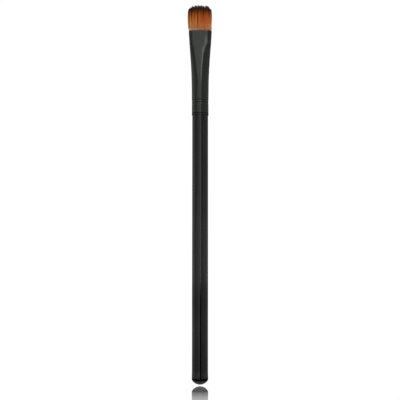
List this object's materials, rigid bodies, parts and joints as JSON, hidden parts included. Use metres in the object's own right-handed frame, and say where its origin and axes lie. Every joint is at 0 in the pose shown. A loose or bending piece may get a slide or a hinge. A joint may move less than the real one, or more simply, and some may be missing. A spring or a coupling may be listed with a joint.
{
  "type": "flat eyeshadow brush",
  "caption": "Flat eyeshadow brush with a black lacquered wooden handle, a crimped and flattened black metal ferrule and a domed brown tuft with dark tips.",
  "frame": {"origin": "lowest point of the rounded butt, on the brush's axis, with the brush upright", "axes": "+Z along the axis from the butt to the hair, X across the width of the flat ferrule, Y through its thickness"},
  "size_m": [0.0104, 0.0074, 0.167],
  "materials": {
    "handle_lacquer": "gloss black lacquer",
    "ferrule_coat": "satin black coat",
    "glue": "set glue",
    "hair": "brown hair with near-black tips",
    "thread": "cotton thread",
    "resin": "set resin"
  },
  "bodies": {
    "root": {"handle": "handle_lacquer", "ferrule": "ferrule_coat", "tenon_glue": "glue", "hair_tuft": "hair", "root_thread": "thread", "resin_plug": "resin"}
  },
  "joints": []
}
